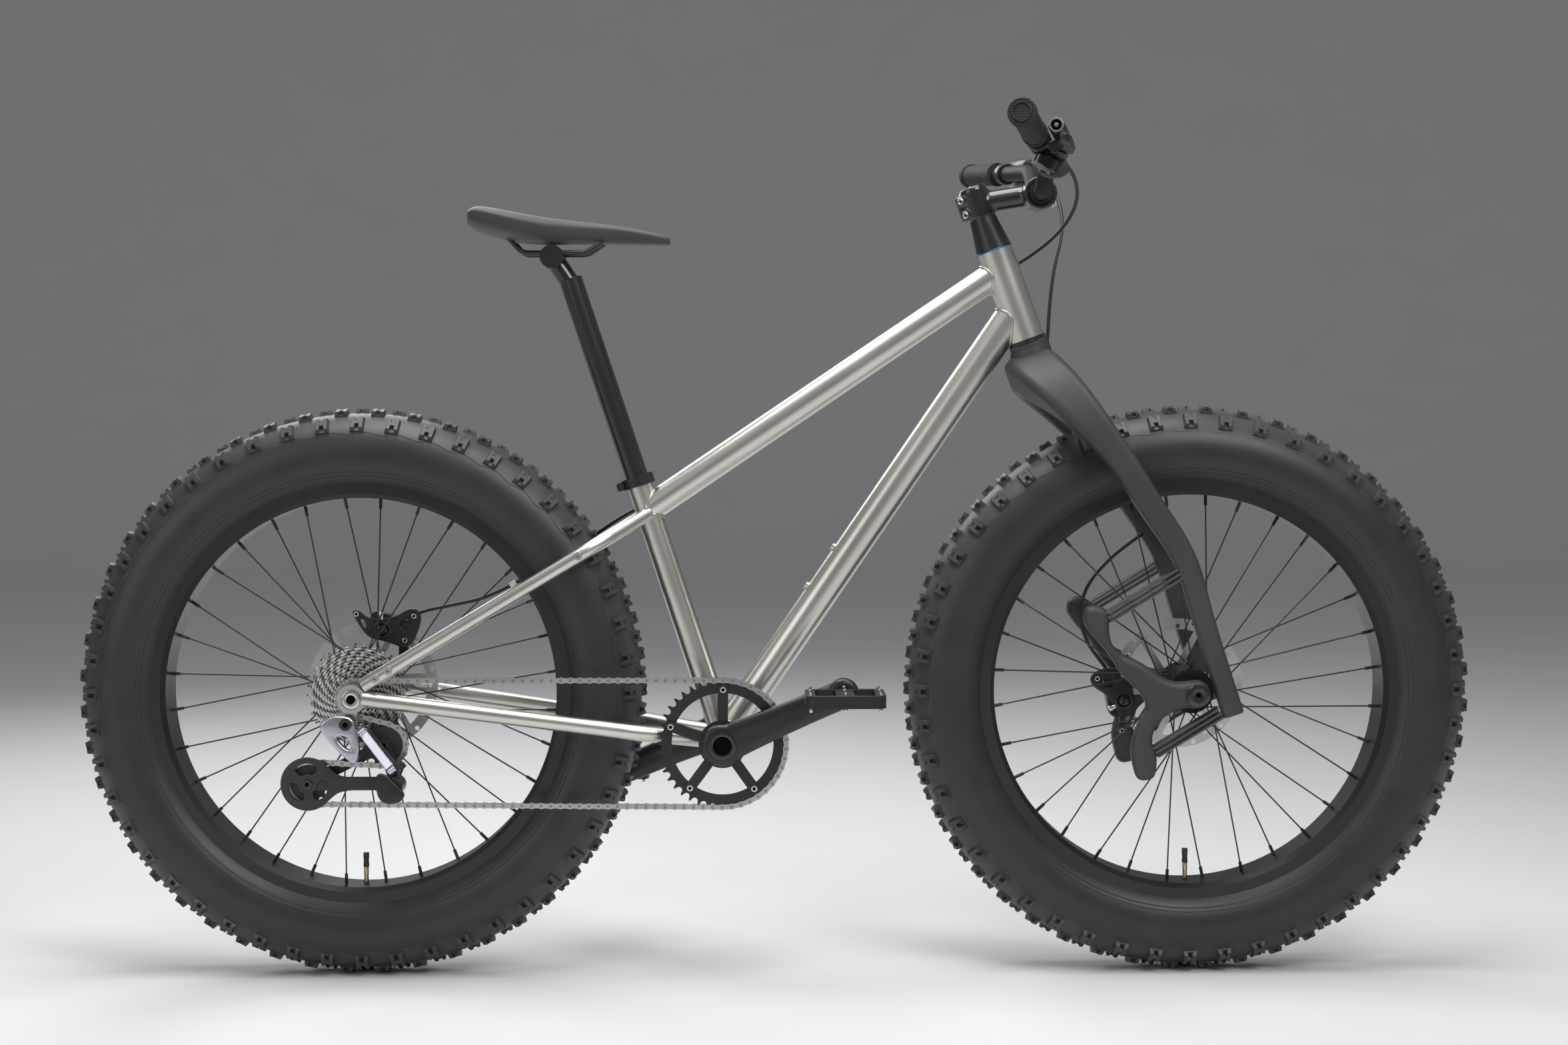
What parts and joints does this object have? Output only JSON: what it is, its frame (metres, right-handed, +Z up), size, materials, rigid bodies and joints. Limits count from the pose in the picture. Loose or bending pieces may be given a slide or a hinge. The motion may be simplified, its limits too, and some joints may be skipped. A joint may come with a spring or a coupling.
{
  "type": "fat tyre bicycle",
  "caption": "Bicycle with very wide knobbly tyres, a bare metal frame, a leaf-sprung fork and disc brakes, ridden on snow and sand.",
  "frame": {"origin": "on the ground, midway between the axles, in the middle plane", "axes": "+X forward, +Y to the rider's left, +Z up"},
  "size_m": [1.894, 0.773, 1.1381],
  "materials": {
    "titanium": "brushed bare metal",
    "black_alloy": "satin black anodised",
    "black_post": "gloss black",
    "carbon": "matte dark grey",
    "tyre": "matte rubber",
    "bright_steel": "bare steel",
    "hose": "satin black",
    "grip": "matte",
    "cushion": "matte synthetic cover",
    "grey_alloy": "satin grey",
    "pulley": "satin dark grey",
    "pedal": "satin black"
  },
  "bodies": {
    "frame": {"head_tube": "titanium", "top_tube": "titanium", "down_tube": "titanium", "seat_tube": "titanium", "bracket_shell": "titanium", "chainstays": "titanium", "seatstays": "titanium", "dropouts": "titanium", "rear_axle": "black_alloy", "seat_collar": "black_alloy", "headset": "black_alloy", "bracket_cups": "black_alloy", "rear_caliper": "black_alloy", "rear_hose": "hose", "chain": "bright_steel", "derailleur_upper_knuckle": "grey_alloy"},
    "steering": {"fork_steerer": "carbon", "left_fork_leg": "carbon", "right_fork_leg": "carbon", "cone_spacer": "black_alloy", "stem": "black_alloy", "handlebar": "black_alloy", "grips": "grip", "lever_bodies": "black_alloy", "leaf_springs": "carbon", "front_hose": "hose"},
    "left_blade": {"left_brake_blade": "black_alloy"},
    "right_blade": {"right_brake_blade": "black_alloy"},
    "paddle": {"shift_paddle": "grey_alloy"},
    "front_link": {"spring_links": "carbon", "front_axle": "black_alloy", "front_caliper": "black_alloy"},
    "front_wheel": {"front_tyre": "tyre", "front_rim": "black_alloy", "front_spokes": "black_alloy", "front_hub": "black_alloy", "front_rotor": "bright_steel"},
    "rear_wheel": {"rear_tyre": "tyre", "rear_rim": "black_alloy", "rear_spokes": "black_alloy", "rear_hub": "black_alloy", "rear_rotor": "bright_steel"},
    "cassette": {"cassette": "bright_steel", "freehub_body": "bright_steel"},
    "crank": {"crank_arms": "black_alloy", "crank_spindle": "bright_steel", "chainring": "black_alloy", "chainring_spider": "black_alloy", "pedal_axles": "bright_steel"},
    "right_pedal": {"right_pedal": "pedal"},
    "left_pedal": {"left_pedal": "pedal"},
    "seat": {"seat_post": "black_post", "saddle_rails": "bright_steel", "saddle_pad": "cushion"},
    "derailleur_outer": {"derailleur_outer_link": "grey_alloy"},
    "derailleur_inner": {"derailleur_inner_link": "grey_alloy"},
    "derailleur_knuckle": {"derailleur_lower_knuckle": "grey_alloy"},
    "derailleur_cage": {"derailleur_cage": "pulley"},
    "guide_pulley": {"guide_pulley": "pulley"},
    "tension_pulley": {"tension_pulley": "pulley"}
  },
  "joints": [
    {"name": "steering", "type": "hinge", "parent": "frame", "child": "steering", "pos_m": [0.3445, 0, 0.862], "axis": [-0.3404, 0, 0.9403], "range_deg": [-70, 70], "deforming": ["rear_hose"]},
    {"name": "fork_travel", "type": "slide", "parent": "steering", "child": "front_link", "axis": [-0.515, 0, 0.8572], "range_m": [0, 0.06], "stiffness_N_per_m": 15000, "deforming": ["leaf_springs", "front_hose"]},
    {"name": "front_wheel_spin", "type": "hinge", "parent": "front_link", "child": "front_wheel", "pos_m": [0.562, 0, 0.385], "axis": [0, 1, 0], "continuous": true},
    {"name": "rear_wheel_spin", "type": "hinge", "parent": "frame", "child": "rear_wheel", "pos_m": [-0.562, 0, 0.385], "axis": [0, 1, 0], "continuous": true},
    {"name": "crank_spin", "type": "hinge", "parent": "frame", "child": "crank", "pos_m": [-0.071, 0, 0.321], "axis": [0, 1, 0], "continuous": true, "deforming": ["chain"]},
    {"name": "cassette_spin", "type": "hinge", "parent": "frame", "child": "cassette", "pos_m": [-0.562, 0, 0.385], "axis": [0, 1, 0], "continuous": true},
    {"name": "right_pedal_spin", "type": "hinge", "parent": "crank", "child": "right_pedal", "pos_m": [0.09009, 0, 0.38938], "axis": [0, 1, 0], "continuous": true},
    {"name": "left_pedal_spin", "type": "hinge", "parent": "crank", "child": "left_pedal", "pos_m": [-0.23209, 0, 0.25262], "axis": [0, 1, 0], "continuous": true},
    {"name": "seat_height", "type": "slide", "parent": "frame", "child": "seat", "axis": [-0.3123, 0, 0.95], "range_m": [-0.15, 0.04]},
    {"name": "left_brake", "type": "hinge", "parent": "steering", "child": "left_blade", "pos_m": [0.36698, 0.24125, 1.09395], "axis": [0.4225, 0.0197, 0.9061], "range_deg": [0, 14], "stiffness_Nm_per_rad": 0.4},
    {"name": "right_brake", "type": "hinge", "parent": "steering", "child": "right_blade", "pos_m": [0.36698, -0.24125, 1.09395], "axis": [-0.4225, 0.0197, -0.9061], "range_deg": [0, 14], "stiffness_Nm_per_rad": 0.4},
    {"name": "shift_lever", "type": "hinge", "parent": "steering", "child": "paddle", "pos_m": [0.36048, -0.18796, 1.09814], "axis": [0.4225, -0.0197, 0.9061], "range_deg": [0, 12], "stiffness_Nm_per_rad": 0.2},
    {"name": "derailleur_shift", "type": "hinge", "parent": "frame", "child": "derailleur_outer", "pos_m": [-0.548, -0.1105, 0.342], "axis": [0.7354, -0.0674, 0.6743], "range_deg": [0, 33], "deforming": ["chain"]},
    {"name": "derailleur_inner_swing", "type": "hinge", "parent": "frame", "child": "derailleur_inner", "pos_m": [-0.54425, -0.0973, 0.33923], "axis": [0.7354, -0.0674, 0.6743], "range_deg": [0, 33]},
    {"name": "derailleur_knuckle_swing", "type": "hinge", "parent": "derailleur_outer", "child": "derailleur_knuckle", "pos_m": [-0.506, -0.1325, 0.294], "axis": [0.7354, -0.0674, 0.6743], "range_deg": [-33, 0]},
    {"name": "cage_swing", "type": "hinge", "parent": "derailleur_knuckle", "child": "derailleur_cage", "pos_m": [-0.505, -0.088, 0.271], "axis": [0, 1, 0], "range_deg": [-66, 0]},
    {"name": "guide_pulley_spin", "type": "hinge", "parent": "derailleur_cage", "child": "guide_pulley", "pos_m": [-0.522, -0.088, 0.322], "axis": [0, 1, 0], "continuous": true},
    {"name": "tension_pulley_spin", "type": "hinge", "parent": "derailleur_cage", "child": "tension_pulley", "pos_m": [-0.62374, -0.088, 0.271], "axis": [0, 1, 0], "continuous": true}
  ],
  "couplings": [
    {"joint": "cassette_spin", "follows": "crank_spin", "ratio": 3.8182},
    {"joint": "guide_pulley_spin", "follows": "crank_spin", "ratio": -3},
    {"joint": "tension_pulley_spin", "follows": "crank_spin", "ratio": 3},
    {"joint": "derailleur_inner_swing", "follows": "derailleur_shift", "ratio": 1},
    {"joint": "derailleur_knuckle_swing", "follows": "derailleur_shift", "ratio": -1},
    {"joint": "cage_swing", "follows": "derailleur_shift", "ratio": -2}
  ]
}
